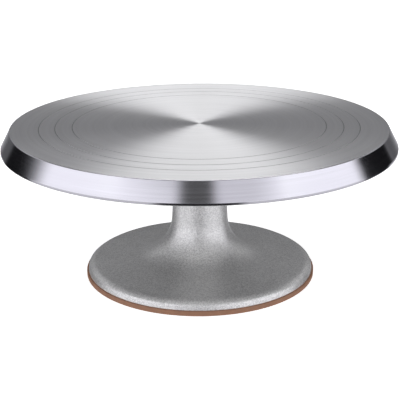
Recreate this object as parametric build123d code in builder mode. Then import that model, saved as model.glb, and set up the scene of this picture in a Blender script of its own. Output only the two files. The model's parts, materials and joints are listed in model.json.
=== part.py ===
from build123d import *
from math import cos, pi, radians, sin, tan
import os

# Cake turntable: a turned aluminium plate on a steel spindle, carried by two shielded ball bearings in
# the column of a cast pedestal, which stands on a rubber pad.
# Millimetres, +Z up. The turning axis is Z and the origin is on the standing surface.

# ---- plate ----
OVERALL_HEIGHT = 121.3
PLATE_RADIUS = 152.5
BEVEL_RUN = 7.1  # how far the rim stands out past the flat face
RIM_HEIGHT = 15.2
RIM_LIP = 2.0  # upright band under the bevel
RIM_WALL = 4.0
PLATE_THICKNESS = 4.5
PLATE_INSIDE_ROUND = 2.5
FACE_EDGE_ROUND = 0.8
GUIDE_RADII = (97.8, 111.0, 123.3)
GUIDE_DEPTH = 0.35
HUB_PAD_RADIUS = 36.0
HUB_PAD_HEIGHT = 3.5
EDGE_BREAK = 0.4

# ---- flange and its screws ----
FLANGE_RADIUS = 33.0
FLANGE_THICKNESS = 6.0
FLANGE_BOSS_RADIUS = 13.0
FLANGE_BOSS_HEIGHT = 2.5
SCREW_COUNT = 4
SCREW_CIRCLE_RADIUS = 27.0
SCREW_RADIUS = 2.5
SCREW_LENGTH = 12.0
SCREW_HEAD_RADIUS = 4.25
SCREW_HEAD_HEIGHT = 5.0
SCREW_KEY_ACROSS_FLATS = 4.0
SCREW_KEY_DEPTH = 2.5
TAPPED_DEPTH = 6.0
SCREW_CLEARANCE_RADIUS = 2.75
LOCK_WASHER_RADIUS = 4.4
LOCK_WASHER_THICKNESS = 1.2
LOCK_WASHER_SPLIT = 0.6

# ---- pedestal ----
PAD_RADIUS = 91.3
PAD_THICKNESS = 3.8
PAD_GROOVE_RADII = (34.0, 50.0, 66.0, 82.0)
PAD_GROOVE_WIDTH = 3.0
PAD_GROOVE_DEPTH = 1.0
FOOT_RADIUS = 90.0
FOOT_DRAFT = 10.0  # degrees from upright
FOOT_EDGE_HEIGHT = 10.15  # of the sloping top, carried on to FOOT_RADIUS
FOOT_SLOPE = 5.6  # degrees from level
SHOULDER_HEIGHT = 7.75  # where the foot's side and its steeper shoulder would meet
SHOULDER_SLOPE = 38.0
SHOULDER_ROUND = 10.0  # between the sloping top and the shoulder
FOOT_ROUND = 3.0  # between the shoulder and the side
FLARE_ROUND = 33.0
COLUMN_RADIUS = 22.2  # at COLUMN_GAUGE_HEIGHT
COLUMN_GAUGE_HEIGHT = 45.0
COLUMN_DRAFT = 3.0  # degrees from upright
COLUMN_TOP = 103.5
COLUMN_TOP_ROUND = 0.8
WALL = 4.0
HOLLOW_RADIUS = 79.0
HOLLOW_ROUND = 29.0
RIB_COUNT = 8
RIB_THICKNESS = 3.0
RIB_RADII = (17.0, 79.5)
RIB_ROUND = 30.0
RIB_GAP = 0.5  # left between the ribs and the cover

# ---- cover and its screws ----
COVER_RADIUS = 81.7
COVER_REBATE_RADIUS = 82.0
COVER_THICKNESS = 2.0
COVER_SCREW_CIRCLE = 60.0
COVER_SCREW_TURN = 22.5  # degrees, so that the screws stand between the ribs
COVER_SCREW_RADIUS = 2.0
COVER_SCREW_TAPER = 45.0  # of the countersunk head, degrees
COVER_SCREW_HEAD_RADIUS = 3.9
COVER_SCREW_LENGTH = 7.0
COVER_SCREW_SLOT_WIDTH = 0.9
COVER_SCREW_SLOT_DEPTH = 1.0
COVER_BOSS_RADIUS = 5.0
COVER_TAPPED_DEPTH = 7.4

# ---- bearings: deep-groove, 12 mm bore, 32 mm outside, 10 mm wide ----
BEARING_BORE = 6.0
BEARING_RADIUS = 16.0
BEARING_WIDTH = 10.0
BEARING_DEPTH = 3.5  # of the upper bearing under the column's top
BEARING_CENTRES = 44.0
PITCH_RADIUS = 11.0
BALL_RADIUS = 2.9765
BALL_COUNT = 7
BALL_PLAY = 0.03
GROOVE_RADIUS = 3.1
INNER_SHOULDER = 9.4
OUTER_SHOULDER = 12.7
RACE_CHAMFER = 0.5
SHIELD_RADII = (9.8, 14.2)
SHIELD_THICKNESS = 0.4
SHIELD_REBATE = 0.7
CAGE_RADII = (9.9, 12.1)
CAGE_SHEET = 0.5
CAGE_PLAY = 0.13
RIVET_RADIUS = 0.5
RIVET_HEAD_RADIUS = 0.8
RIVET_HEAD_HEIGHT = 0.35
HOUSING_SHOULDER_RADIUS = 14.0
CIRCLIP_RADIUS = 17.0
CIRCLIP_INNER_RADIUS = 14.4
CIRCLIP_THICKNESS = 1.2
CIRCLIP_OPENING = 9.0
CIRCLIP_LUG_RADIUS = 2.2
CIRCLIP_LUG_PLACE = (13.2, 5.6)
CIRCLIP_HOLE_RADIUS = 0.9
POCKET_LIP = 3.0  # bore left under the circlip
SEAL_SEAT_RADIUS = 14.2
SEAL_GAP = 0.35
SEAL_LIFT = 1.2  # seal's lip over the bearing
SEAL_HEIGHT = 3.3

# ---- spindle ----
COLLAR_RADIUS = 8.5
PRESS_RADIUS = 7.0
PRESS_CLEARANCE = 0.5
THREAD_RADIUS = 5.0
THREAD_RELIEF = 0.5
THREAD_PITCH = 1.5
THREAD_DEPTH = 0.65
THREAD_TAIL = 3.0  # thread showing under the nut
SPACER_RADII = (6.2, 8.5)
WASHER_RADII = (5.3, 9.0)
WASHER_THICKNESS = 1.5
SPLIT_WASHER_RADII = (5.1, 8.5)
SPLIT_WASHER_THICKNESS = 2.2
SPLIT_WASHER_ARC = 345.0  # degrees of ring left by the split
NUT_ACROSS_FLATS = 17.0
NUT_HEIGHT = 8.0
NUT_CORNER_DROP = 1.0

# ---- heights worked out from them ----
FACE_RADIUS = PLATE_RADIUS - BEVEL_RUN
RIM_BOTTOM = OVERALL_HEIGHT - RIM_HEIGHT
LIP_TOP = RIM_BOTTOM + RIM_LIP
PLATE_UNDERSIDE = OVERALL_HEIGHT - PLATE_THICKNESS
HUB_BOTTOM = PLATE_UNDERSIDE - HUB_PAD_HEIGHT
FLANGE_BOTTOM = HUB_BOTTOM - FLANGE_THICKNESS
BOSS_BOTTOM = FLANGE_BOTTOM - FLANGE_BOSS_HEIGHT
SCREW_SEAT = FLANGE_BOTTOM - LOCK_WASHER_THICKNESS
HEAD_BOTTOM = SCREW_SEAT - SCREW_HEAD_HEIGHT
COVER_TOP = PAD_THICKNESS + COVER_THICKNESS
UPPER_BEARING_TOP = COLUMN_TOP - BEARING_DEPTH
UPPER_BEARING_BOTTOM = UPPER_BEARING_TOP - BEARING_WIDTH
UPPER_BEARING_MIDDLE = UPPER_BEARING_TOP - BEARING_WIDTH / 2
LOWER_BEARING_MIDDLE = UPPER_BEARING_MIDDLE - BEARING_CENTRES
LOWER_BEARING_TOP = LOWER_BEARING_MIDDLE + BEARING_WIDTH / 2
LOWER_BEARING_BOTTOM = LOWER_BEARING_MIDDLE - BEARING_WIDTH / 2
CIRCLIP_BOTTOM = LOWER_BEARING_BOTTOM - CIRCLIP_THICKNESS
POCKET_BOTTOM = CIRCLIP_BOTTOM - POCKET_LIP
WASHER_BOTTOM = LOWER_BEARING_BOTTOM - WASHER_THICKNESS
SPLIT_WASHER_BOTTOM = WASHER_BOTTOM - SPLIT_WASHER_THICKNESS
NUT_BOTTOM = SPLIT_WASHER_BOTTOM - NUT_HEIGHT
SPINDLE_BOTTOM = NUT_BOTTOM - THREAD_TAIL

os.makedirs("parts", exist_ok=True)


def section(height=0.0, turn=0.0):
    """Upright plane through the axis: local x is the radius at this angle, local y the height."""
    outward = (cos(radians(turn)), sin(radians(turn)), 0)
    sideways = (sin(radians(turn)), -cos(radians(turn)), 0)
    return Plane(origin=(0, 0, height), x_dir=outward, z_dir=sideways)


def save(piece, name):
    """Labels a finished piece and writes it to its own STEP file."""
    piece.part.label = name
    export_step(piece.part, f"parts/{name}.step")


def foot_height(radius, depth=0.0):
    """Height of the foot's sloping top at this radius, or of a surface that far under it."""
    return FOOT_EDGE_HEIGHT + (FOOT_RADIUS - radius) * tan(radians(FOOT_SLOPE)) - depth


def column_radius(height, depth=0.0):
    """Radius of the column's tapered side at this height, or of a surface that far inside it."""
    return COLUMN_RADIUS - (height - COLUMN_GAUGE_HEIGHT) * tan(radians(COLUMN_DRAFT)) - depth


def side_corner():
    """Where the foot's side and its shoulder would meet if nothing rounded them."""
    return (FOOT_RADIUS - (SHOULDER_HEIGHT - PAD_THICKNESS) * tan(radians(FOOT_DRAFT)), SHOULDER_HEIGHT)


def shoulder_corner():
    """Where the foot's sloping top and its shoulder would meet if nothing rounded them."""
    side_radius, side_height = side_corner()
    rise = foot_height(side_radius) - side_height
    radius = side_radius - rise / (tan(radians(SHOULDER_SLOPE)) - tan(radians(FOOT_SLOPE)))
    return (radius, foot_height(radius))


def flare_corner(depth=0.0):
    """Where the foot's top and the column's side would meet if nothing rounded them."""
    slope = tan(radians(FOOT_SLOPE))
    draft = tan(radians(COLUMN_DRAFT))
    radius = (column_radius(foot_height(0, depth), depth)) / (1 - slope * draft)
    return (radius, foot_height(radius, depth))


def corner_at(radius, height):
    """The corner of the sketch being drawn that is nearest to this place."""
    return vertices().sort_by_distance((radius, height, 0))[0]


# ---- the turning parts ----
def make_turntable_plate():
    """Flat round plate with a bevelled rim turned down, three guide circles and a tapped hub pad."""
    bevel_slope = BEVEL_RUN / (RIM_HEIGHT - RIM_LIP)
    inside_corner = FACE_RADIUS - RIM_WALL + bevel_slope * PLATE_THICKNESS
    with BuildPart() as plate:
        with BuildSketch(section()):
            with BuildLine():
                Polyline(
                    (0, OVERALL_HEIGHT),
                    (FACE_RADIUS, OVERALL_HEIGHT),
                    (PLATE_RADIUS, LIP_TOP),
                    (PLATE_RADIUS, RIM_BOTTOM),
                    (PLATE_RADIUS - RIM_WALL, RIM_BOTTOM),
                    (PLATE_RADIUS - RIM_WALL, LIP_TOP),
                    (inside_corner, PLATE_UNDERSIDE),
                    (HUB_PAD_RADIUS, PLATE_UNDERSIDE),
                    (HUB_PAD_RADIUS, HUB_BOTTOM),
                    (0, HUB_BOTTOM),
                    close=True,
                )
            make_face()
            fillet(corner_at(inside_corner, PLATE_UNDERSIDE), PLATE_INSIDE_ROUND)
            fillet(corner_at(HUB_PAD_RADIUS, PLATE_UNDERSIDE), PLATE_INSIDE_ROUND)
            fillet(corner_at(FACE_RADIUS, OVERALL_HEIGHT), FACE_EDGE_ROUND)
            fillet(corner_at(PLATE_RADIUS, LIP_TOP), EDGE_BREAK)
            fillet(corner_at(PLATE_RADIUS, RIM_BOTTOM), EDGE_BREAK)
            fillet(corner_at(PLATE_RADIUS - RIM_WALL, RIM_BOTTOM), EDGE_BREAK)
        revolve(axis=Axis.Z)
        with BuildSketch(section(OVERALL_HEIGHT)):
            with Locations(*[(radius, 0) for radius in GUIDE_RADII]):
                RegularPolygon(radius=GUIDE_DEPTH, side_count=4)
        revolve(axis=Axis.Z, mode=Mode.SUBTRACT)
        with BuildSketch(Plane.XY.offset(HUB_BOTTOM)):
            with PolarLocations(SCREW_CIRCLE_RADIUS, SCREW_COUNT):
                Circle(SCREW_RADIUS)
        extrude(amount=TAPPED_DEPTH, mode=Mode.SUBTRACT)
    save(plate, "turntable_plate")


def make_spindle_flange():
    """Steel disc bolted under the plate, with a boss that the spindle is pressed into."""
    with BuildPart() as flange:
        with BuildSketch(Plane.XY.offset(FLANGE_BOTTOM)):
            Circle(FLANGE_RADIUS)
        extrude(amount=FLANGE_THICKNESS)
        chamfer(flange.edges().group_by(Axis.Z)[0], 2 * EDGE_BREAK)
        with BuildSketch(Plane.XY.offset(BOSS_BOTTOM)):
            Circle(FLANGE_BOSS_RADIUS)
        extrude(amount=FLANGE_BOSS_HEIGHT)
        chamfer(flange.edges().group_by(Axis.Z)[0], EDGE_BREAK)
        with BuildSketch(Plane.XY.offset(BOSS_BOTTOM)):
            Circle(PRESS_RADIUS)
            with PolarLocations(SCREW_CIRCLE_RADIUS, SCREW_COUNT):
                Circle(SCREW_CLEARANCE_RADIUS)
        extrude(amount=FLANGE_BOSS_HEIGHT + FLANGE_THICKNESS, mode=Mode.SUBTRACT)
    save(flange, "spindle_flange")


def make_flange_screws():
    """Socket-head screws that hold the flange to the plate, heads down."""
    with BuildPart() as screws:
        with BuildSketch(Plane.XY.offset(HEAD_BOTTOM)):
            with PolarLocations(SCREW_CIRCLE_RADIUS, SCREW_COUNT):
                Circle(SCREW_HEAD_RADIUS)
        extrude(amount=SCREW_HEAD_HEIGHT)
        chamfer(screws.edges().group_by(Axis.Z)[0], EDGE_BREAK)
        with BuildSketch(Plane.XY.offset(HEAD_BOTTOM)):
            with PolarLocations(SCREW_CIRCLE_RADIUS, SCREW_COUNT):
                RegularPolygon(SCREW_KEY_ACROSS_FLATS / 2, side_count=6, major_radius=False)
        extrude(amount=SCREW_KEY_DEPTH, mode=Mode.SUBTRACT)
        with BuildSketch(Plane.XY.offset(SCREW_SEAT)):
            with PolarLocations(SCREW_CIRCLE_RADIUS, SCREW_COUNT):
                Circle(SCREW_RADIUS)
        extrude(amount=SCREW_LENGTH)
        chamfer(screws.edges().group_by(Axis.Z)[-1], EDGE_BREAK)
    save(screws, "flange_screws")


def make_flange_lock_washers():
    """Split spring washers under the screw heads."""
    ring_middle = (SCREW_CLEARANCE_RADIUS + LOCK_WASHER_RADIUS) / 2
    with BuildPart() as washers:
        with BuildSketch(Plane.XY.offset(SCREW_SEAT)):
            with PolarLocations(SCREW_CIRCLE_RADIUS, SCREW_COUNT):
                Circle(LOCK_WASHER_RADIUS)
            with PolarLocations(SCREW_CIRCLE_RADIUS, SCREW_COUNT):
                Circle(SCREW_CLEARANCE_RADIUS, mode=Mode.SUBTRACT)
            with PolarLocations(SCREW_CIRCLE_RADIUS + ring_middle, SCREW_COUNT):
                Rectangle(LOCK_WASHER_RADIUS / 2, LOCK_WASHER_SPLIT, mode=Mode.SUBTRACT)
        extrude(amount=LOCK_WASHER_THICKNESS)
    save(washers, "flange_lock_washers")


def make_spindle():
    """Stepped steel spindle: pressed end, collar, bearing journal and a threaded tail."""
    press_top = HUB_BOTTOM - PRESS_CLEARANCE
    thread_top = LOWER_BEARING_BOTTOM + THREAD_RELIEF
    thread_rings = int((WASHER_BOTTOM - SPINDLE_BOTTOM) / THREAD_PITCH)
    with BuildPart() as spindle:
        with BuildSketch(section()):
            with BuildLine():
                Polyline(
                    (0, press_top),
                    (PRESS_RADIUS, press_top),
                    (PRESS_RADIUS, BOSS_BOTTOM),
                    (COLLAR_RADIUS, BOSS_BOTTOM),
                    (COLLAR_RADIUS, UPPER_BEARING_TOP),
                    (BEARING_BORE, UPPER_BEARING_TOP),
                    (BEARING_BORE, thread_top),
                    (THREAD_RADIUS, thread_top),
                    (THREAD_RADIUS, SPINDLE_BOTTOM),
                    (0, SPINDLE_BOTTOM),
                    close=True,
                )
            make_face()
        revolve(axis=Axis.Z)
        chamfer(spindle.edges().group_by(Axis.Z)[0], EDGE_BREAK)
        chamfer(spindle.edges().group_by(Axis.Z)[-1], EDGE_BREAK)
        with BuildSketch(section(SPINDLE_BOTTOM)):
            with Locations(*[(THREAD_RADIUS, THREAD_PITCH * (ring + 1)) for ring in range(thread_rings)]):
                RegularPolygon(radius=THREAD_DEPTH, side_count=4)
        revolve(axis=Axis.Z, mode=Mode.SUBTRACT)
    save(spindle, "spindle")


def make_bearing_spacer():
    """Tube that holds the two inner races apart."""
    inner, outer = SPACER_RADII
    with BuildPart() as spacer:
        with BuildSketch(Plane.XY.offset(LOWER_BEARING_TOP)):
            Circle(outer)
            Circle(inner, mode=Mode.SUBTRACT)
        extrude(amount=UPPER_BEARING_BOTTOM - LOWER_BEARING_TOP)
    save(spacer, "bearing_spacer")


def make_spindle_washer():
    """Flat washer against the lower inner race."""
    inner, outer = WASHER_RADII
    with BuildPart() as washer:
        with BuildSketch(Plane.XY.offset(WASHER_BOTTOM)):
            Circle(outer)
            Circle(inner, mode=Mode.SUBTRACT)
        extrude(amount=WASHER_THICKNESS)
    save(washer, "spindle_washer")


def make_spindle_lock_washer():
    """Split spring washer between the flat washer and the nut."""
    inner, outer = SPLIT_WASHER_RADII
    with BuildPart() as lock_washer:
        with BuildSketch(section(SPLIT_WASHER_BOTTOM)):
            with Locations(((inner + outer) / 2, SPLIT_WASHER_THICKNESS / 2)):
                Rectangle(outer - inner, SPLIT_WASHER_THICKNESS)
        revolve(axis=Axis.Z, revolution_arc=SPLIT_WASHER_ARC)
    save(lock_washer, "spindle_lock_washer")


def make_spindle_nut():
    """Hex nut on the spindle's tail, its corners turned off at both ends."""
    flat_radius = NUT_ACROSS_FLATS / 2
    corner_radius = flat_radius / cos(pi / 6)
    with BuildPart() as nut:
        with BuildSketch(Plane.XY.offset(NUT_BOTTOM)):
            RegularPolygon(flat_radius, side_count=6, major_radius=False)
            Circle(THREAD_RADIUS, mode=Mode.SUBTRACT)
        extrude(amount=NUT_HEIGHT)
        with BuildSketch(section(NUT_BOTTOM)):
            with BuildLine():
                Polyline(
                    (0, 0),
                    (flat_radius, 0),
                    (corner_radius, NUT_CORNER_DROP),
                    (corner_radius, NUT_HEIGHT - NUT_CORNER_DROP),
                    (flat_radius, NUT_HEIGHT),
                    (0, NUT_HEIGHT),
                    close=True,
                )
            make_face()
        revolve(axis=Axis.Z, mode=Mode.INTERSECT)
    save(nut, "spindle_nut")


# ---- the bearings ----
def make_outer_race(prefix, middle):
    """Ring pressed into the column, grooved for the balls and rebated for the two shields."""
    groove_centre = PITCH_RADIUS + BALL_RADIUS + BALL_PLAY - GROOVE_RADIUS
    half_width = BEARING_WIDTH / 2
    rebate_bottom = half_width - SHIELD_REBATE
    with BuildPart() as race:
        with BuildSketch(section(middle)):
            with BuildLine():
                Polyline(
                    (OUTER_SHOULDER, -rebate_bottom),
                    (SHIELD_RADII[1], -rebate_bottom),
                    (SHIELD_RADII[1], -half_width),
                    (BEARING_RADIUS - RACE_CHAMFER, -half_width),
                    (BEARING_RADIUS, RACE_CHAMFER - half_width),
                    (BEARING_RADIUS, half_width - RACE_CHAMFER),
                    (BEARING_RADIUS - RACE_CHAMFER, half_width),
                    (SHIELD_RADII[1], half_width),
                    (SHIELD_RADII[1], rebate_bottom),
                    (OUTER_SHOULDER, rebate_bottom),
                    close=True,
                )
            make_face()
            with Locations((groove_centre, 0)):
                Circle(GROOVE_RADIUS, mode=Mode.SUBTRACT)
        revolve(axis=Axis.Z)
    save(race, f"{prefix}_bearing_outer_race")


def make_inner_race(prefix, middle):
    """Ring clamped on the spindle, grooved for the balls."""
    groove_centre = PITCH_RADIUS - BALL_RADIUS - BALL_PLAY + GROOVE_RADIUS
    half_width = BEARING_WIDTH / 2
    with BuildPart() as race:
        with BuildSketch(section(middle)):
            with BuildLine():
                Polyline(
                    (BEARING_BORE, RACE_CHAMFER - half_width),
                    (BEARING_BORE + RACE_CHAMFER, -half_width),
                    (INNER_SHOULDER, -half_width),
                    (INNER_SHOULDER, half_width),
                    (BEARING_BORE + RACE_CHAMFER, half_width),
                    (BEARING_BORE, half_width - RACE_CHAMFER),
                    close=True,
                )
            make_face()
            with Locations((groove_centre, 0)):
                Circle(GROOVE_RADIUS, mode=Mode.SUBTRACT)
        revolve(axis=Axis.Z)
    save(race, f"{prefix}_bearing_inner_race")


def make_shields(prefix, middle):
    """Two thin steel rings that close the bearing's sides, held in the outer race."""
    inner, outer = SHIELD_RADII
    seat = BEARING_WIDTH / 2 - SHIELD_REBATE + SHIELD_THICKNESS / 2
    with BuildPart() as shields:
        with BuildSketch(section(middle)):
            with Locations(((inner + outer) / 2, seat), ((inner + outer) / 2, -seat)):
                Rectangle(outer - inner, SHIELD_THICKNESS)
        revolve(axis=Axis.Z)
    save(shields, f"{prefix}_bearing_shields")


def make_balls(prefix, middle):
    """The bearing's ring of balls."""
    with BuildPart(Plane.XY.offset(middle)) as balls:
        with PolarLocations(PITCH_RADIUS, BALL_COUNT):
            Sphere(BALL_RADIUS)
    save(balls, f"{prefix}_bearing_balls")


def make_cage_half(prefix, middle, side, up):
    """Half of the pressed sheet cage: a flat ring with a rounded pocket over each ball."""
    inner, outer = CAGE_RADII
    pocket = BALL_RADIUS + CAGE_PLAY
    between_balls = 180 / BALL_COUNT
    plane = Plane(origin=(0, 0, middle), x_dir=(1, 0, 0), z_dir=(0, 0, up))
    with BuildPart(plane) as half:
        with BuildSketch(plane):
            Circle(outer)
            Circle(inner, mode=Mode.SUBTRACT)
        extrude(amount=CAGE_SHEET)
        with PolarLocations(PITCH_RADIUS, BALL_COUNT):
            Sphere(pocket + CAGE_SHEET)
        with BuildSketch(plane):
            Circle(outer)
            Circle(inner, mode=Mode.SUBTRACT)
        extrude(amount=pocket + 2 * CAGE_SHEET, mode=Mode.INTERSECT)
        with PolarLocations(PITCH_RADIUS, BALL_COUNT):
            Sphere(pocket, mode=Mode.SUBTRACT)
        with PolarLocations(PITCH_RADIUS, BALL_COUNT, start_angle=between_balls):
            Cylinder(RIVET_RADIUS, 4 * CAGE_SHEET, mode=Mode.SUBTRACT)
    save(half, f"{prefix}_bearing_cage_{side}")


def make_cage_rivets(prefix, middle):
    """Rivets between the balls that join the cage's halves."""
    between_balls = 180 / BALL_COUNT
    head_middle = CAGE_SHEET + RIVET_HEAD_HEIGHT / 2
    with BuildPart(Plane.XY.offset(middle)) as rivets:
        with PolarLocations(PITCH_RADIUS, BALL_COUNT, start_angle=between_balls):
            Cylinder(RIVET_RADIUS, 2 * CAGE_SHEET)
            with Locations((0, 0, head_middle), (0, 0, -head_middle)):
                Cylinder(RIVET_HEAD_RADIUS, RIVET_HEAD_HEIGHT)
    save(rivets, f"{prefix}_bearing_cage_rivets")


def make_bearing(prefix, middle):
    """One complete shielded ball bearing, each piece on its own."""
    make_outer_race(prefix, middle)
    make_inner_race(prefix, middle)
    make_shields(prefix, middle)
    make_balls(prefix, middle)
    make_cage_half(prefix, middle, "top", 1)
    make_cage_half(prefix, middle, "bottom", -1)
    make_cage_rivets(prefix, middle)


def make_retaining_ring():
    """Internal circlip that holds the lower bearing up in its pocket."""
    lug_x, lug_y = CIRCLIP_LUG_PLACE
    with BuildPart() as ring:
        with BuildSketch(Plane.XY.offset(CIRCLIP_BOTTOM)):
            Circle(CIRCLIP_RADIUS)
            Circle(CIRCLIP_INNER_RADIUS, mode=Mode.SUBTRACT)
            with Locations((CIRCLIP_RADIUS, 0)):
                Rectangle(CIRCLIP_RADIUS, CIRCLIP_OPENING, mode=Mode.SUBTRACT)
            with Locations((lug_x, lug_y), (lug_x, -lug_y)):
                Circle(CIRCLIP_LUG_RADIUS)
                Circle(CIRCLIP_HOLE_RADIUS, mode=Mode.SUBTRACT)
        extrude(amount=CIRCLIP_THICKNESS)
    save(ring, "retaining_ring")


def make_dust_seal():
    """Ring in the column's mouth: it seats on the outer race and its lip clears the spindle's collar."""
    with BuildPart() as seal:
        with BuildSketch(section(UPPER_BEARING_TOP)):
            with BuildLine():
                Polyline(
                    (SEAL_SEAT_RADIUS, 0),
                    (BEARING_RADIUS, 0),
                    (BEARING_RADIUS, SEAL_HEIGHT),
                    (COLLAR_RADIUS + SEAL_GAP, SEAL_HEIGHT),
                    (COLLAR_RADIUS + SEAL_GAP, SEAL_LIFT),
                    (SEAL_SEAT_RADIUS, SEAL_LIFT),
                    close=True,
                )
            make_face()
        revolve(axis=Axis.Z)
    save(seal, "dust_seal")


# ---- the standing parts ----
def make_pedestal():
    """Cast pedestal: a wide hollow foot flared up into a column bored for the two bearings."""
    middle_of_wall = WALL / 2
    boss_height = foot_height(COVER_SCREW_CIRCLE, middle_of_wall) - COVER_TOP
    rib_bottom = COVER_TOP + RIB_GAP
    rib_inside, rib_outside = RIB_RADII
    with BuildPart() as pedestal:
        with BuildSketch(section()):
            with BuildLine():
                Polyline(
                    (0, PAD_THICKNESS),
                    (FOOT_RADIUS, PAD_THICKNESS),
                    side_corner(),
                    shoulder_corner(),
                    flare_corner(),
                    (column_radius(COLUMN_TOP), COLUMN_TOP),
                    (0, COLUMN_TOP),
                    close=True,
                )
            make_face()
            fillet(corner_at(*side_corner()), FOOT_ROUND)
            fillet(corner_at(*shoulder_corner()), SHOULDER_ROUND)
            fillet(corner_at(*flare_corner()), FLARE_ROUND)
            fillet(corner_at(column_radius(COLUMN_TOP), COLUMN_TOP), COLUMN_TOP_ROUND)
            chamfer(corner_at(FOOT_RADIUS, PAD_THICKNESS), EDGE_BREAK / 2)
        revolve(axis=Axis.Z)

        with BuildSketch(section()):
            with BuildLine():
                Polyline(
                    (0, COVER_TOP),
                    (HOLLOW_RADIUS, COVER_TOP),
                    (HOLLOW_RADIUS, foot_height(HOLLOW_RADIUS, WALL)),
                    flare_corner(WALL),
                    (column_radius(POCKET_BOTTOM, WALL), POCKET_BOTTOM),
                    (0, POCKET_BOTTOM),
                    close=True,
                )
            make_face()
            fillet(corner_at(*flare_corner(WALL)), HOLLOW_ROUND)
        revolve(axis=Axis.Z, mode=Mode.SUBTRACT)

        for rib in range(RIB_COUNT):
            with BuildSketch(section(turn=360 * rib / RIB_COUNT)):
                with BuildLine():
                    Polyline(
                        (rib_inside, rib_bottom),
                        (rib_outside, rib_bottom),
                        (rib_outside, foot_height(rib_outside, middle_of_wall)),
                        flare_corner(middle_of_wall),
                        (column_radius(POCKET_BOTTOM, middle_of_wall), POCKET_BOTTOM),
                        (rib_inside, POCKET_BOTTOM),
                        close=True,
                    )
                make_face()
                fillet(corner_at(*flare_corner(middle_of_wall)), RIB_ROUND)
            extrude(amount=RIB_THICKNESS / 2, both=True)

        with BuildSketch(Plane.XY.offset(COVER_TOP)):
            with PolarLocations(COVER_SCREW_CIRCLE, SCREW_COUNT, start_angle=COVER_SCREW_TURN):
                Circle(COVER_BOSS_RADIUS)
        extrude(amount=boss_height)
        with BuildSketch(Plane.XY.offset(COVER_TOP)):
            with PolarLocations(COVER_SCREW_CIRCLE, SCREW_COUNT, start_angle=COVER_SCREW_TURN):
                Circle(COVER_SCREW_RADIUS)
        extrude(amount=COVER_TAPPED_DEPTH - COVER_THICKNESS, mode=Mode.SUBTRACT)

        with BuildSketch(Plane.XY.offset(PAD_THICKNESS)):
            Circle(COVER_REBATE_RADIUS)
        extrude(amount=COVER_THICKNESS, mode=Mode.SUBTRACT)

        with BuildSketch(section()):
            with BuildLine():
                Polyline(
                    (0, POCKET_BOTTOM),
                    (BEARING_RADIUS, POCKET_BOTTOM),
                    (BEARING_RADIUS, CIRCLIP_BOTTOM),
                    (CIRCLIP_RADIUS, CIRCLIP_BOTTOM),
                    (CIRCLIP_RADIUS, LOWER_BEARING_BOTTOM),
                    (BEARING_RADIUS, LOWER_BEARING_BOTTOM),
                    (BEARING_RADIUS, LOWER_BEARING_TOP),
                    (HOUSING_SHOULDER_RADIUS, LOWER_BEARING_TOP),
                    (HOUSING_SHOULDER_RADIUS, UPPER_BEARING_BOTTOM),
                    (BEARING_RADIUS, UPPER_BEARING_BOTTOM),
                    (BEARING_RADIUS, COLUMN_TOP),
                    (0, COLUMN_TOP),
                    close=True,
                )
            make_face()
        revolve(axis=Axis.Z, mode=Mode.SUBTRACT)
    save(pedestal, "pedestal")


def make_base_cover():
    """Sheet-steel disc let into the foot's underside, countersunk for its screws."""
    cone_height = COVER_SCREW_HEAD_RADIUS - COVER_SCREW_RADIUS
    with BuildPart() as cover:
        with BuildSketch(Plane.XY.offset(PAD_THICKNESS)):
            Circle(COVER_RADIUS)
            with PolarLocations(COVER_SCREW_CIRCLE, SCREW_COUNT, start_angle=COVER_SCREW_TURN):
                Circle(COVER_SCREW_RADIUS, mode=Mode.SUBTRACT)
        extrude(amount=COVER_THICKNESS)
        with BuildSketch(Plane.XY.offset(PAD_THICKNESS)):
            with PolarLocations(COVER_SCREW_CIRCLE, SCREW_COUNT, start_angle=COVER_SCREW_TURN):
                Circle(COVER_SCREW_HEAD_RADIUS)
        extrude(amount=cone_height, taper=COVER_SCREW_TAPER, mode=Mode.SUBTRACT)
    save(cover, "base_cover")


def make_cover_screws():
    """Countersunk screws that hold the cover, heads flush and slotted crosswise."""
    cone_height = COVER_SCREW_HEAD_RADIUS - COVER_SCREW_RADIUS
    with BuildPart() as screws:
        with BuildSketch(Plane.XY.offset(PAD_THICKNESS)):
            with PolarLocations(COVER_SCREW_CIRCLE, SCREW_COUNT, start_angle=COVER_SCREW_TURN):
                Circle(COVER_SCREW_RADIUS)
        extrude(amount=COVER_SCREW_LENGTH)
        chamfer(screws.edges().group_by(Axis.Z)[-1], EDGE_BREAK)
        with BuildSketch(Plane.XY.offset(PAD_THICKNESS)):
            with PolarLocations(COVER_SCREW_CIRCLE, SCREW_COUNT, start_angle=COVER_SCREW_TURN):
                Circle(COVER_SCREW_HEAD_RADIUS)
        extrude(amount=cone_height, taper=COVER_SCREW_TAPER)
        with BuildSketch(Plane.XY.offset(PAD_THICKNESS)):
            with PolarLocations(COVER_SCREW_CIRCLE, SCREW_COUNT, start_angle=COVER_SCREW_TURN):
                Rectangle(COVER_SCREW_HEAD_RADIUS, COVER_SCREW_SLOT_WIDTH)
                Rectangle(COVER_SCREW_SLOT_WIDTH, COVER_SCREW_HEAD_RADIUS)
        extrude(amount=COVER_SCREW_SLOT_DEPTH, mode=Mode.SUBTRACT)
    save(screws, "cover_screws")


def make_anti_slip_pad():
    """Rubber disc under the foot, a little wider than it, with shallow rings in its underside."""
    with BuildPart() as pad:
        with BuildSketch():
            Circle(PAD_RADIUS)
        extrude(amount=PAD_THICKNESS)
        chamfer(pad.edges().filter_by(GeomType.CIRCLE), EDGE_BREAK)
        with BuildSketch():
            for radius in PAD_GROOVE_RADII:
                Circle(radius + PAD_GROOVE_WIDTH / 2)
                Circle(radius - PAD_GROOVE_WIDTH / 2, mode=Mode.SUBTRACT)
        extrude(amount=PAD_GROOVE_DEPTH, mode=Mode.SUBTRACT)
    save(pad, "anti_slip_pad")


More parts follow.
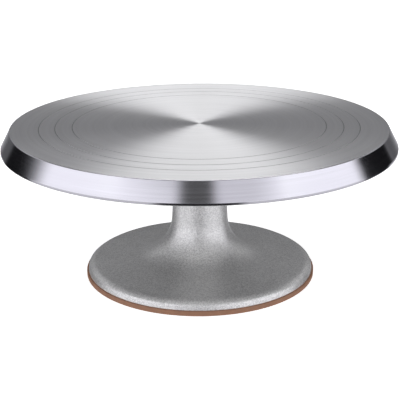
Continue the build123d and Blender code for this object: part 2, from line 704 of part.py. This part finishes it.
make_turntable_plate()
make_spindle_flange()
make_flange_screws()
make_flange_lock_washers()
make_spindle()
make_bearing_spacer()
make_spindle_washer()
make_spindle_lock_washer()
make_spindle_nut()
make_bearing("upper", UPPER_BEARING_MIDDLE)
make_bearing("lower", LOWER_BEARING_MIDDLE)
make_retaining_ring()
make_dust_seal()
make_pedestal()
make_base_cover()
make_cover_screws()
make_anti_slip_pad()
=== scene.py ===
import json
from math import ceil, cos, pi, radians, sin, tan

import bpy
from mathutils import Matrix, Vector


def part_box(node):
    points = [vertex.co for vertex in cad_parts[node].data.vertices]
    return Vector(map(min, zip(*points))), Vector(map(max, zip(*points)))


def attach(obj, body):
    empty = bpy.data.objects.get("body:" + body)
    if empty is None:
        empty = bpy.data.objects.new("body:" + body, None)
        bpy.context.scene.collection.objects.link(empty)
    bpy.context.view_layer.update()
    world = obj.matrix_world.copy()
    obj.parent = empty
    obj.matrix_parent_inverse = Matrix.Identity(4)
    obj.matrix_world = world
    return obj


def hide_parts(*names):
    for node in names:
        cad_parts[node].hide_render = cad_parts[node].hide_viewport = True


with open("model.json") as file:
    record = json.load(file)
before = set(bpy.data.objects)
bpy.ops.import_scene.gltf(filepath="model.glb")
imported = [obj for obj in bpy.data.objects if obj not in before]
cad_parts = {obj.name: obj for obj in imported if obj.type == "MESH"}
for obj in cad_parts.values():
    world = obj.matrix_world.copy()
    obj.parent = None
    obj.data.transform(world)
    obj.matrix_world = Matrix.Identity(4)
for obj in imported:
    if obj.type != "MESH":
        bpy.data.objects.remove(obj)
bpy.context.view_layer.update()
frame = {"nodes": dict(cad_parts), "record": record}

# Looks of the cake turntable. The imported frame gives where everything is, in metres; outlines are drawn
# here in millimetres, as (radius, height) about the turning axis.

MM = 0.001
ROUND_SEGMENTS = 512
ARC_STEP = radians(5)
SUPPORT_GAP = 0.15  # from an edge to the ring that keeps the flat beside it flat

# ---- sizes read from the frame, in mm ----
plate_low, plate_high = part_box("turntable_plate")
pedestal_low, pedestal_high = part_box("pedestal")
pad_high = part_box("anti_slip_pad")[1]
PLATE_TOP = plate_high.z / MM
RIM_BOTTOM = plate_low.z / MM
PEDESTAL_BOTTOM = pedestal_low.z / MM
COLUMN_TOP = pedestal_high.z / MM
PLATE_RADIUS = plate_high.x / MM
FOOT_RADIUS = pedestal_high.x / MM
PAD_RADIUS = pad_high.x / MM

# ---- sizes of the shapes between them, in mm; drafts and slopes as tangents ----
BEVEL_RUN = 7.1
RIM_LIP = 2.0
RIM_WALL = 4.0
PLATE_THICKNESS = 4.5
HUB_PAD_RADIUS = 36.0
HUB_PAD_HEIGHT = 3.5
GUIDE_RADII = (97.8, 111.0, 123.3)
GUIDE_HALF_WIDTH = 0.35
GUIDE_DEPTH = 0.35
FACE_EDGE_ROUND = 0.8
EDGE_BREAK = 0.4
INSIDE_ROUND = 2.5
FOOT_DRAFT = tan(radians(10))
FOOT_EDGE_HEIGHT = 10.15
FOOT_SLOPE = tan(radians(5.6))
SHOULDER_HEIGHT = 7.75
SHOULDER_SLOPE = tan(radians(38))
SHOULDER_ROUND = 10.0
FOOT_ROUND = 3.0
FLARE_ROUND = 33.0
HOLLOW_ROUND = 29.0
COLUMN_RADIUS = 22.2
COLUMN_GAUGE_HEIGHT = 45.0
COLUMN_DRAFT = tan(radians(3.0))
WALL = 4.0
BEARING_RADIUS = 16.0
HOUSING_SHOULDER_RADIUS = 14.0
CIRCLIP_RADIUS = 17.0
POCKET_LIP = 3.0
COVER_LEDGE = 3.0
PAD_GROOVE_RADII = (82.0, 66.0, 50.0, 34.0)
PAD_GROOVE_HALF_WIDTH = 1.5
PAD_GROOVE_DEPTH = 1.0

# ---- studio, in metres and degrees ----
PANEL_PLACE = (0.03, 0, 0.8)
PANEL_CORNERS = ((-0.7, -0.2), (0.7, 1.1))
PANEL_STRENGTH = 3.1
FLOOR_HALF_SIZE = 20.0
FLOOR_PLACE = (0, 0, -0.0002)
FLOOR_STRENGTH = 0.75
CAMERA_PLACE = (0, -0.7616, 0.3184)
CAMERA_PITCH = 18.95
CAMERA_ROLL = -0.33
CAMERA_LENS = 91.13
CAMERA_SENSOR = 36.0
CAMERA_SHIFT = (0.0006, 0.0048)


# ---- outlines and turned meshes ----
def arc_between(before, corner, after, radius):
    """Points of the arc that rounds a corner of an outline."""
    into = (Vector(before) - Vector(corner)).normalized()
    out = (Vector(after) - Vector(corner)).normalized()
    half = into.angle(out) / 2
    centre = Vector(corner) + (into + out).normalized() * radius / sin(half)
    start = Vector(corner) + into * radius / tan(half) - centre
    end = Vector(corner) + out * radius / tan(half) - centre
    turn = start.angle_signed(end)
    steps = max(4, ceil(abs(turn) / ARC_STEP))
    return [centre + Matrix.Rotation(-turn * step / steps, 2) @ start for step in range(steps + 1)]


def outline(corners):
    """Points and surface finishes along an outline of (radius, height, rounding, finish) corners.
    A corner's finish is that of the surface from it to the next corner."""
    points, finishes = [], []
    for i, (radius, height, rounding, finish) in enumerate(corners):
        corner = (radius, height)
        if rounding:
            bend = arc_between(corners[i - 1][:2], corner, corners[i + 1][:2], rounding)
        else:
            bend = [Vector(corner)]
        points += bend
        finishes += [finish] * len(bend)
    ringed, ringed_finishes = [], []
    for i, point in enumerate(points):
        ringed.append(point)
        ringed_finishes.append(finishes[i])
        if i + 1 < len(points):
            run = points[i + 1] - point
            if run.length > 4 * SUPPORT_GAP:
                for along in (SUPPORT_GAP, run.length - SUPPORT_GAP):
                    ringed.append(point + run.normalized() * along)
                    ringed_finishes.append(finishes[i])
    return ringed, ringed_finishes


def turned_piece(name, corners, materials, body):
    """A closed mesh turned about Z from an outline that runs from the top of the axis round to its bottom,
    or all round a ring when the outline's first corner is off the axis."""
    points, finishes = outline(corners)
    closed_ring = corners[0][0] > 0
    finish_names = list(materials)
    vertices, rings = [], []
    for point in points:
        if point.x < 1e-6:
            rings.append([len(vertices)] * ROUND_SEGMENTS)
            vertices.append((0, 0, point.y * MM))
            continue
        rings.append(range(len(vertices), len(vertices) + ROUND_SEGMENTS))
        for segment in range(ROUND_SEGMENTS):
            angle = 2 * pi * segment / ROUND_SEGMENTS
            vertices.append((point.x * MM * cos(angle), point.x * MM * sin(angle), point.y * MM))
    faces, indices = [], []
    ring_count = len(rings) if closed_ring else len(rings) - 1
    for i in range(ring_count):
        inner, outer = rings[i], rings[(i + 1) % len(rings)]
        for segment in range(ROUND_SEGMENTS):
            following = (segment + 1) % ROUND_SEGMENTS
            quad = (inner[segment], outer[segment], outer[following], inner[following])
            faces.append(tuple(dict.fromkeys(quad)))
            indices.append(finish_names.index(finishes[i]))
    mesh = bpy.data.meshes.new(name)
    mesh.from_pydata(vertices, [], faces)
    mesh.polygons.foreach_set("material_index", indices)
    mesh.polygons.foreach_set("use_smooth", [True] * len(faces))
    for finish in finish_names:
        mesh.materials.append(materials[finish])
    mesh.validate()
    mesh.update()
    mesh.set_sharp_from_angle(angle=radians(35))
    piece = bpy.data.objects.new(name, mesh)
    bpy.context.scene.collection.objects.link(piece)
    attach(piece, body)
    return piece


# ---- shader helpers ----
def add_node(tree, kind, settings=None, **inputs):
    """A shader node with its settings, and its inputs set or linked by socket name or number."""
    node = tree.nodes.new(kind)
    for key, value in (settings or {}).items():
        setattr(node, key, value)
    for key, value in inputs.items():
        socket = node.inputs[int(key[1:])] if key[0] == "_" else node.inputs[key.replace("_", " ")]
        if isinstance(value, bpy.types.NodeSocket):
            tree.links.new(value, socket)
        else:
            socket.default_value = value
    return node


def math(tree, operation, *values):
    """The result of a Math node on up to three numbers or sockets."""
    inputs = {f"_{i}": value for i, value in enumerate(values)}
    return add_node(tree, "ShaderNodeMath", {"operation": operation}, **inputs).outputs[0]


def fit(tree, value, low, high, to_low, to_high, smooth=False):
    """value moved from one span to another, held at its ends."""
    settings = {"interpolation_type": "SMOOTHSTEP" if smooth else "LINEAR"}
    return add_node(tree, "ShaderNodeMapRange", settings, _0=value, _1=low, _2=high, _3=to_low,
                    _4=to_high).outputs[0]


def band(tree, value, low, high, soft_low, soft_high):
    """1 where value lies between low and high, falling to 0 over the soft spans at its ends."""
    rise = fit(tree, value, low - soft_low, low + soft_low, 0.0, 1.0, smooth=True)
    fall = fit(tree, value, high - soft_high, high + soft_high, 1.0, 0.0, smooth=True)
    return math(tree, "MULTIPLY", rise, fall)


def noise(tree, vector, scale, detail=3.0, roughness=0.5):
    """A noise pattern's value, 0 to 1."""
    return add_node(tree, "ShaderNodeTexNoise", {"noise_dimensions": "3D"}, Vector=vector, Scale=scale,
                    Detail=detail, Roughness=roughness).outputs[0]


def bump(tree, height, distance, strength=1.0):
    """A normal bent by a height pattern; distance in metres."""
    return add_node(tree, "ShaderNodeBump", None, Height=height, Distance=distance,
                    Strength=strength).outputs[0]


def start_material(name, colour, metallic, roughness):
    """A material with a Principled shader, and its node tree and shader."""
    material = bpy.data.materials.new(name)
    material.use_nodes = True
    shader = material.node_tree.nodes["Principled BSDF"]
    shader.inputs["Base Color"].default_value = (*colour, 1)
    shader.inputs["Metallic"].default_value = metallic
    shader.inputs["Roughness"].default_value = roughness
    return material, material.node_tree, shader


def object_point(tree):
    """The surface point in the frame's metres."""
    return add_node(tree, "ShaderNodeTexCoord").outputs["Object"]


def round_coordinates(tree, across, around):
    """A point whose first number runs across turned grooves, and whose others run round the axis, so that a
    noise read there makes long curved scratches. across is 'radius' or 'height'."""
    x, y, z = add_node(tree, "ShaderNodeSeparateXYZ", None, _0=object_point(tree)).outputs
    square = math(tree, "ADD", math(tree, "MULTIPLY", x, x), math(tree, "MULTIPLY", y, y))
    radius = math(tree, "SQRT", square)
    safe_radius = math(tree, "MAXIMUM", radius, 1e-4)
    along_x = math(tree, "MULTIPLY", math(tree, "DIVIDE", x, safe_radius), around)
    along_y = math(tree, "MULTIPLY", math(tree, "DIVIDE", y, safe_radius), around)
    first = radius if across == "radius" else z
    return add_node(tree, "ShaderNodeCombineXYZ", None, _0=math(tree, "DIVIDE", first, MM), _1=along_x,
                    _2=along_y).outputs[0]


# ---- materials ----
def turned_metal(name, colour, roughness, spread, across, fine, coarse, depth, anisotropy):
    """Lathe-turned metal. fine and coarse are the grooves' pattern scales per millimetre, depth their bump
    in metres, and spread how much the roughness varies from groove to groove."""
    material, tree, shader = start_material(name, colour, 1.0, roughness)
    grooves = round_coordinates(tree, across, 1.6)
    fine_lines = noise(tree, grooves, fine, 2.0)
    coarse_lines = noise(tree, grooves, coarse, 3.0)
    weighted_fine = math(tree, "MULTIPLY", fine_lines, 0.6)
    both = math(tree, "ADD", weighted_fine, math(tree, "MULTIPLY", coarse_lines, 0.4))
    varied = fit(tree, both, 0.3, 0.7, roughness - spread, roughness + spread)
    tree.links.new(bump(tree, both, depth), shader.inputs["Normal"])
    tree.links.new(varied, shader.inputs["Roughness"])
    shade = add_node(tree, "ShaderNodeMix", {"data_type": "RGBA"}, _0=fit(tree, coarse_lines, 0.3, 0.7, 0, 1),
                     _6=(*[channel * 0.93 for channel in colour], 1), _7=(*colour, 1))
    tree.links.new(shade.outputs[2], shader.inputs["Base Color"])
    tangent = add_node(tree, "ShaderNodeTangent", {"direction_type": "RADIAL", "axis": "Z"})
    tree.links.new(tangent.outputs[0], shader.inputs["Tangent"])
    shader.inputs["Anisotropic"].default_value = anisotropy
    shader.inputs["Anisotropic Rotation"].default_value = 0.25
    return material


def hammered_paint(name):
    """Silver hammered paint: pebbled, with bright metal flakes under a clear top."""
    material, tree, shader = start_material(name, (0.73, 0.73, 0.72), 0.85, 0.43)
    point = object_point(tree)
    pebbles = noise(tree, point, 1100, 2.0)
    flakes = add_node(tree, "ShaderNodeTexVoronoi", None, Vector=point, Scale=1500.0)
    flake_shade = add_node(tree, "ShaderNodeSeparateXYZ", None, _0=flakes.outputs["Color"]).outputs[0]
    relief = math(tree, "ADD", math(tree, "MULTIPLY", pebbles, 0.7), math(tree, "MULTIPLY", flake_shade, 0.3))
    tree.links.new(bump(tree, relief, 0.00025), shader.inputs["Normal"])
    clouds = noise(tree, point, 60, 2.0)
    cloud_shade = fit(tree, clouds, 0.3, 0.7, -0.02, 0.02)
    shade = math(tree, "ADD", fit(tree, flake_shade, 0, 1, 0.58, 0.88), cloud_shade)
    colour = add_node(tree, "ShaderNodeCombineColor", None, _0=shade, _1=shade,
                      _2=math(tree, "MULTIPLY", shade, 0.985)).outputs[0]
    tree.links.new(colour, shader.inputs["Base Color"])
    tree.links.new(fit(tree, pebbles, 0.3, 0.7, 0.37, 0.49), shader.inputs["Roughness"])
    shader.inputs["Coat Weight"].default_value = 0.35
    shader.inputs["Coat Roughness"].default_value = 0.2
    return material


def rubber(name, colour, light_colour):
    """Matt moulded rubber, a little mottled, with a fine grain."""
    material, tree, shader = start_material(name, colour, 0.0, 0.75)
    point = object_point(tree)
    mottle = noise(tree, point, 180, 4.0)
    shade = add_node(tree, "ShaderNodeMix", {"data_type": "RGBA"}, _0=fit(tree, mottle, 0.3, 0.7, 0, 1),
                     _6=(*colour, 1), _7=(*light_colour, 1))
    tree.links.new(shade.outputs[2], shader.inputs["Base Color"])
    tree.links.new(bump(tree, noise(tree, point, 2500, 2.0), 0.00005), shader.inputs["Normal"])
    tree.links.new(fit(tree, mottle, 0.3, 0.7, 0.66, 0.84), shader.inputs["Roughness"])
    return material


def steel(name, colour, roughness, grain, depth):
    """Steel with a fine grain in its roughness and relief. grain is the pattern's scale per metre."""
    material, tree, shader = start_material(name, colour, 1.0, roughness)
    point = object_point(tree)
    pattern = noise(tree, point, grain, 3.0)
    tree.links.new(fit(tree, pattern, 0.3, 0.7, roughness * 0.8, roughness * 1.2), shader.inputs["Roughness"])
    tree.links.new(bump(tree, pattern, depth), shader.inputs["Normal"])
    stain = noise(tree, point, grain / 8, 2.0)
    shade = add_node(tree, "ShaderNodeMix", {"data_type": "RGBA"}, _0=fit(tree, stain, 0.3, 0.7, 0, 1),
                     _6=(*[channel * 0.88 for channel in colour], 1), _7=(*colour, 1))
    tree.links.new(shade.outputs[2], shader.inputs["Base Color"])
    return material


face_metal = turned_metal("turned_face", (0.82, 0.82, 0.83), 0.44, 0.03, "radius", 2.2, 0.45, 0.000012, 0.88)
rim_metal = turned_metal("turned_rim", (0.66, 0.655, 0.70), 0.13, 0.03, "height", 3.0, 0.8, 0.000004, 0.3)
under_metal = turned_metal("turned_underside", (0.82, 0.82, 0.82), 0.3, 0.05, "radius", 1.6, 0.4, 0.00002,
                           0.6)
# Darker metal for the guide grooves: painted shade, standing in for the shade that falls in them.
groove_shade_metal = steel("groove_painted_shade", (0.42, 0.42, 0.43), 0.35, 900, 0.00001)
paint = hammered_paint("hammered_silver")
brown_rubber = rubber("brown_rubber", (0.29, 0.145, 0.085), (0.36, 0.19, 0.115))
black_rubber = rubber("black_rubber", (0.02, 0.02, 0.02), (0.035, 0.035, 0.035))
cast_metal = steel("as_cast", (0.42, 0.42, 0.41), 0.55, 900, 0.0001)
slot_materials = {
    "ground_steel": steel("ground_steel", (0.56, 0.56, 0.57), 0.28, 4000, 0.00001),
    "bearing_steel": steel("bearing_steel", (0.62, 0.62, 0.64), 0.18, 6000, 0.000004),
    "polished_steel": steel("polished_steel", (0.75, 0.75, 0.76), 0.06, 9000, 0.000001),
    "sheet_steel": steel("sheet_steel", (0.60, 0.60, 0.60), 0.34, 2500, 0.00001),
    "plated_steel": steel("plated_steel", (0.66, 0.66, 0.68), 0.25, 3000, 0.00001),
    "dark_steel": steel("dark_steel", (0.07, 0.07, 0.08), 0.35, 3000, 0.00001),
    "black_rubber": black_rubber,
}


# ---- the plate ----
def make_plate():
    """Plate with a brushed face, three fine guide circles with painted shade in their grooves, a bright bevel
    and a turned-down rim.
    """
    face_radius = PLATE_RADIUS - BEVEL_RUN
    lip_top = RIM_BOTTOM + RIM_LIP
    underside = PLATE_TOP - PLATE_THICKNESS
    hub_bottom = underside - HUB_PAD_HEIGHT
    inside_corner = face_radius - RIM_WALL + BEVEL_RUN * PLATE_THICKNESS / (PLATE_TOP - lip_top)
    corners = [(0, PLATE_TOP, 0, "face")]
    # The guide grooves take the groove finish, whose darker metal is painted shade.
    for radius in GUIDE_RADII:
        corners.append((radius - GUIDE_HALF_WIDTH, PLATE_TOP, 0, "groove"))
        corners.append((radius, PLATE_TOP - GUIDE_DEPTH, 0, "groove"))
        corners.append((radius + GUIDE_HALF_WIDTH, PLATE_TOP, 0, "face"))
    corners += [
        (face_radius, PLATE_TOP, FACE_EDGE_ROUND, "rim"),
        (PLATE_RADIUS, lip_top, EDGE_BREAK, "rim"),
        (PLATE_RADIUS, RIM_BOTTOM, EDGE_BREAK, "under"),
        (PLATE_RADIUS - RIM_WALL, RIM_BOTTOM, EDGE_BREAK, "under"),
        (PLATE_RADIUS - RIM_WALL, lip_top, EDGE_BREAK, "under"),
        (inside_corner, underside, INSIDE_ROUND, "under"),
        (HUB_PAD_RADIUS, underside, INSIDE_ROUND, "under"),
        (HUB_PAD_RADIUS, hub_bottom, EDGE_BREAK, "under"),
        (0, hub_bottom, 0, "under"),
    ]
    materials = {"face": face_metal, "groove": groove_shade_metal, "rim": rim_metal, "under": under_metal}
    plate = turned_piece("plate", corners, materials, "turntable")
    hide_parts("turntable_plate")


# ---- the pedestal ----
def foot_height(radius, depth=0.0):
    """Height of the foot's sloping top, or of a surface that far under it."""
    return FOOT_EDGE_HEIGHT + (FOOT_RADIUS - radius) * FOOT_SLOPE - depth


def column_radius(height, depth=0.0):
    """Radius of the column's side, or of a surface that far inside it."""
    return COLUMN_RADIUS - (height - COLUMN_GAUGE_HEIGHT) * COLUMN_DRAFT - depth


def side_corner():
    """Where the foot's side and its shoulder would meet if nothing rounded them."""
    return FOOT_RADIUS - (SHOULDER_HEIGHT - PEDESTAL_BOTTOM) * FOOT_DRAFT, SHOULDER_HEIGHT


def shoulder_corner():
    """Where the foot's sloping top and its shoulder would meet if nothing rounded them."""
    side_radius, side_height = side_corner()
    radius = side_radius - (foot_height(side_radius) - side_height) / (SHOULDER_SLOPE - FOOT_SLOPE)
    return radius, foot_height(radius)


def flare_corner(depth=0.0):
    """Where the foot's top and the column's side would meet if nothing rounded them."""
    radius = column_radius(foot_height(0, depth), depth) / (1 - FOOT_SLOPE * COLUMN_DRAFT)
    return radius, foot_height(radius, depth)


def make_pedestal():
    """Hollow pedestal, painted outside and bare as cast in its hollow, with machined bearing pockets."""
    cover_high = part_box("base_cover")[1]
    circlip_low, circlip_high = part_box("retaining_ring")
    upper_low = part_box("upper_bearing_outer_race")[0]
    lower_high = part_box("lower_bearing_outer_race")[1]
    cover_radius = cover_high.x / MM + SUPPORT_GAP
    cover_top = cover_high.z / MM
    hollow_radius = cover_radius - COVER_LEDGE
    pocket_bottom = circlip_low.z / MM - POCKET_LIP
    corners = [
        (BEARING_RADIUS, COLUMN_TOP, 0, "paint"),
        (column_radius(COLUMN_TOP), COLUMN_TOP, 2 * EDGE_BREAK, "paint"),
        (*flare_corner(), FLARE_ROUND, "paint"),
        (*shoulder_corner(), SHOULDER_ROUND, "paint"),
        (*side_corner(), FOOT_ROUND, "paint"),
        (FOOT_RADIUS, PEDESTAL_BOTTOM, EDGE_BREAK / 2, "paint"),
        (cover_radius, PEDESTAL_BOTTOM, 0, "paint"),
        (cover_radius, cover_top, 0, "cast"),
        (hollow_radius, cover_top, 0, "cast"),
        (hollow_radius, foot_height(hollow_radius, WALL), 0, "cast"),
        (*flare_corner(WALL), HOLLOW_ROUND, "cast"),
        (column_radius(pocket_bottom, WALL), pocket_bottom, 0, "cast"),
        (BEARING_RADIUS, pocket_bottom, 0, "bore"),
        (BEARING_RADIUS, circlip_low.z / MM, 0, "bore"),
        (CIRCLIP_RADIUS, circlip_low.z / MM, 0, "bore"),
        (CIRCLIP_RADIUS, circlip_high.z / MM, 0, "bore"),
        (BEARING_RADIUS, circlip_high.z / MM, 0, "bore"),
        (BEARING_RADIUS, lower_high.z / MM, 0, "bore"),
        (HOUSING_SHOULDER_RADIUS, lower_high.z / MM, 0, "bore"),
        (HOUSING_SHOULDER_RADIUS, upper_low.z / MM, 0, "bore"),
        (BEARING_RADIUS, upper_low.z / MM, 0, "bore"),
    ]
    materials = {"paint": paint, "cast": cast_metal, "bore": under_metal}
    pedestal = turned_piece("pedestal_casting", corners, materials, "base")
    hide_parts("pedestal")


# ---- the pad ----
def make_pad():
    """Rubber pad with shallow rings underneath and softly rounded edges."""
    top = pad_high.z / MM
    corners = [(0, top, 0, "rubber")]
    corners += [(PAD_RADIUS, height, EDGE_BREAK, "rubber") for height in (top, 0)]
    for radius in PAD_GROOVE_RADII:
        outer, inner = radius + PAD_GROOVE_HALF_WIDTH, radius - PAD_GROOVE_HALF_WIDTH
        corners.append((outer, 0, EDGE_BREAK, "rubber"))
        corners.append((outer, PAD_GROOVE_DEPTH, EDGE_BREAK, "rubber"))
        corners.append((inner, PAD_GROOVE_DEPTH, EDGE_BREAK, "rubber"))
        corners.append((inner, 0, EDGE_BREAK, "rubber"))
    corners.append((0, 0, 0, "rubber"))
    pad = turned_piece("rubber_pad", corners, {"rubber": brown_rubber}, "base")
    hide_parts("anti_slip_pad")


def finish_cad_nodes():
    """The CAD nodes that keep their shape get the material of their slot in the record."""
    for part in frame["record"]["subparts"]:
        material = slot_materials.get(part["material_slot"])
        if material:
            mesh = frame["nodes"][part["node"]].data
            mesh.materials.clear()
            mesh.materials.append(material)


make_plate()
make_pedestal()
make_pad()
finish_cad_nodes()


# ---- studio ----
def studio_light():
    """A room of soft panels all round: two broad ones in front with a dark gap between, dark flags at the
    sides and a dim back. Angles are degrees; bearing 0 is towards the camera, positive to its right."""
    world = bpy.data.worlds.new("studio")
    bpy.context.scene.world = world
    world.use_nodes = True
    tree = world.node_tree
    direction = add_node(tree, "ShaderNodeTexCoord").outputs["Generated"]
    x, y, z = add_node(tree, "ShaderNodeSeparateXYZ", None, _0=direction).outputs
    back = math(tree, "MULTIPLY", y, -1.0)
    bearing = math(tree, "DEGREES", math(tree, "ARCTAN2", x, back))
    height = math(tree, "DEGREES", math(tree, "ARCSINE", z))

    colour = (0.24, 0.24, 0.25, 1)
    # name; bearing from, to, soft edges; height from, to, soft edges; colour. Each lies over those before it.
    panels = (
        ("floor_behind", -181, 181, 0.1, 0.1, -91, -22, 0.1, 4, (0.05, 0.05, 0.052)),
        ("floor_edge", -181, 181, 0.1, 0.1, -24, -10, 3, 3, (0.55, 0.55, 0.57)),
        ("floor_before", -118, 112, 14, 12, -50, -12, 6, 4, (0.66, 0.66, 0.68)),
        ("floor_near", -80, 80, 14, 14, -86, -58, 3, 6, (1.3, 1.3, 1.3)),
        ("behind_right", 105, 152, 6, 6, 18, 50, 6, 6, (0.75, 0.75, 0.76)),
        ("behind_left", -152, -100, 6, 6, 18, 50, 6, 6, (0.70, 0.70, 0.72)),
        ("left", -101, -13, 7, 5, -16, 39, 4, 6, (1.32, 1.31, 1.38)),
        ("right", 10, 102, 4, 4, -16, 39, 4, 6, (1.32, 1.31, 1.38)),
        ("left_upper", -92, -50, 7, 5, 30, 52, 4, 6, (1.4, 1.4, 1.45)),
        ("right_upper", 50, 92, 4, 4, 30, 52, 4, 6, (1.4, 1.4, 1.45)),
        ("front_upper", -86, 86, 8, 8, 49, 58, 3, 3, (1.0, 1.0, 1.0)),
        ("right_dim", 6, 42, 4, 14, 24, 50, 6, 6, (0.86, 0.85, 0.9)),
        ("front_gap", -10, 9, 4, 5, 22, 47, 6, 5, (0.11, 0.11, 0.11)),
        ("left_flag", -148, -109, 3, 4, -20, 14, 3, 5, (0.008, 0.008, 0.009)),
        ("right_flag", 105.5, 136, 1.5, 3, -20, 20, 3, 5, (0.008, 0.008, 0.009)),
        ("behind_low", 137, 181, 3, 0.1, -6, 5, 3, 3, (0.12, 0.12, 0.125)),
        ("behind_low_2", -181, -137, 0.1, 3, -6, 5, 3, 3, (0.12, 0.12, 0.125)),
        ("front_low", -24, 24, 5, 5, -27, -13, 3, 2, (0.01, 0.01, 0.011)),
    )
    for _, left, right, soft_left, soft_right, low, high, soft_low, soft_high, tint in panels:
        mask = math(tree, "MULTIPLY", band(tree, bearing, left, right, soft_left, soft_right),
                    band(tree, height, low, high, soft_low, soft_high))
        colour = add_node(tree, "ShaderNodeMix", {"data_type": "RGBA"}, _0=mask, _6=colour,
                          _7=(*tint, 1)).outputs[2]
    background = tree.nodes["Background"]
    tree.links.new(colour, background.inputs["Color"])


def studio_sheet(name, low, high, place, colour, roughness):
    """A flat sheet that glows white, with its node tree and shader. low and high are two of its corners."""
    (left, front), (right, back) = low, high
    corners = [(left, front, 0), (right, front, 0), (right, back, 0), (left, back, 0)]
    mesh = bpy.data.meshes.new(name)
    mesh.from_pydata(corners, [], [(0, 1, 2, 3)])
    sheet = bpy.data.objects.new(name, mesh)
    sheet.location = place
    bpy.context.scene.collection.objects.link(sheet)
    material, tree, shader = start_material(name, colour, 0.0, roughness)
    shader.inputs["Emission Color"].default_value = (1, 1, 1, 1)
    mesh.materials.append(material)
    return sheet, tree, shader


def make_overhead_panel():
    """Soft panel above and a little behind, which lights the plate's face and isn't seen itself."""
    low, high = PANEL_CORNERS
    panel, tree, shader = studio_sheet("overhead_panel", low, high, PANEL_PLACE, (0, 0, 0), 1.0)
    x, y, z = add_node(tree, "ShaderNodeSeparateXYZ", None, _0=object_point(tree)).outputs
    across = band(tree, x, -0.32, 0.33, 0.24, 0.24)
    glow = math(tree, "MULTIPLY", across, band(tree, y, 0.15, 0.62, 0.12, 0.1))
    tree.links.new(math(tree, "MULTIPLY", glow, PANEL_STRENGTH), shader.inputs["Emission Strength"])
    panel.visible_camera = False
    panel.visible_shadow = False


def make_floor():
    """Plain white floor that only the camera sees, so that it doesn't light the part from below."""
    size = FLOOR_HALF_SIZE
    floor, _, shader = studio_sheet("floor", (-size, -size), (size, size), FLOOR_PLACE, (0.9, 0.9, 0.9), 0.9)
    shader.inputs["Emission Strength"].default_value = FLOOR_STRENGTH
    floor.visible_glossy = False
    floor.visible_diffuse = False


def add_camera():
    """The camera, in front of the part and looking down at it, turned a little about its own axis."""
    camera = bpy.data.objects.new("camera", bpy.data.cameras.new("camera"))
    camera.data.lens = CAMERA_LENS
    camera.data.sensor_width = CAMERA_SENSOR
    camera.data.shift_x, camera.data.shift_y = CAMERA_SHIFT
    camera.location = CAMERA_PLACE
    tilt = Matrix.Rotation(radians(90 - CAMERA_PITCH), 4, "X")
    roll = Matrix.Rotation(radians(CAMERA_ROLL), 4, "Z")
    camera.rotation_euler = (tilt @ roll).to_euler()
    bpy.context.scene.collection.objects.link(camera)
    bpy.context.scene.camera = camera


studio_light()
make_overhead_panel()
make_floor()
add_camera()
bpy.context.scene.view_settings.view_transform = "Standard"
